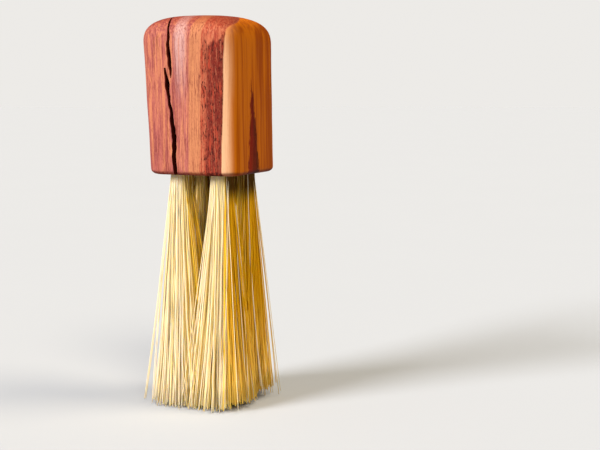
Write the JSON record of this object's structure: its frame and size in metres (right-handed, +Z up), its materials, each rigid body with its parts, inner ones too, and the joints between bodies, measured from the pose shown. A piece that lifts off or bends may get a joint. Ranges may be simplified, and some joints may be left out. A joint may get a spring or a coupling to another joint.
{
  "type": "body dry brush",
  "caption": "Palm-held dry brush: a domed, squarish cedar block with long plant-fibre knots set in sockets in its underside, flaring to a square skirt that it stands on.",
  "frame": {"origin": "on the surface that the brush stands on, under the middle of the socket pattern", "axes": "+Z up through the handle block, -Y towards the face with the drying crack, +X towards the sapwood face"},
  "size_m": [0.0581, 0.0594, 0.1935],
  "materials": {
    "cedar": "oiled satin",
    "bristle": "natural plant fibre, matt with a slight sheen",
    "twine": "waxed flax twine",
    "resin": "dark set resin"
  },
  "bodies": {
    "handle": {"handle_block": "cedar", "setting_resin_front_left": "resin", "setting_resin_front_right": "resin", "setting_resin_back_left": "resin", "setting_resin_back_right": "resin", "root_binding_front_left": "twine", "root_binding_front_right": "twine", "root_binding_back_left": "twine", "root_binding_back_right": "twine"},
    "bristles_front_left": {"tuft_front_left": "bristle", "stray_bristle_left_low": "bristle", "stray_bristle_left_middle": "bristle", "stray_bristle_left_high": "bristle"},
    "bristles_front_right": {"tuft_front_right": "bristle", "stray_bristle_front_long": "bristle", "stray_bristle_front_short": "bristle"},
    "bristles_back_left": {"tuft_back_left": "bristle", "stray_bristle_back_long": "bristle", "stray_bristle_back_short": "bristle"},
    "bristles_back_right": {"tuft_back_right": "bristle", "stray_bristle_right_low": "bristle", "stray_bristle_right_middle": "bristle", "stray_bristle_right_high": "bristle"}
  },
  "joints": [
    {"name": "bend_front_left", "type": "hinge", "parent": "handle", "child": "bristles_front_left", "pos_m": [-0.01125, -0.01125, 0.0986], "axis": [0, 1, 0], "range_deg": [-25, 25], "stiffness_Nm_per_rad": 0.07, "deforming": ["tuft_front_left", "stray_bristle_left_low", "stray_bristle_left_middle", "stray_bristle_left_high"]},
    {"name": "bend_front_right", "type": "hinge", "parent": "handle", "child": "bristles_front_right", "pos_m": [0.01125, -0.01125, 0.0986], "axis": [0, 1, 0], "range_deg": [-25, 25], "stiffness_Nm_per_rad": 0.07, "deforming": ["tuft_front_right", "stray_bristle_front_long", "stray_bristle_front_short"]},
    {"name": "bend_back_left", "type": "hinge", "parent": "handle", "child": "bristles_back_left", "pos_m": [-0.01125, 0.01125, 0.0986], "axis": [0, 1, 0], "range_deg": [-25, 25], "stiffness_Nm_per_rad": 0.07, "deforming": ["tuft_back_left", "stray_bristle_back_long", "stray_bristle_back_short"]},
    {"name": "bend_back_right", "type": "hinge", "parent": "handle", "child": "bristles_back_right", "pos_m": [0.01125, 0.01125, 0.0986], "axis": [0, 1, 0], "range_deg": [-25, 25], "stiffness_Nm_per_rad": 0.07, "deforming": ["tuft_back_right", "stray_bristle_right_low", "stray_bristle_right_middle", "stray_bristle_right_high"]}
  ],
  "couplings": [
    {"joint": "bend_front_left", "follows": "bend_front_right", "ratio": 1},
    {"joint": "bend_back_left", "follows": "bend_front_right", "ratio": 1},
    {"joint": "bend_back_right", "follows": "bend_front_right", "ratio": 1}
  ]
}
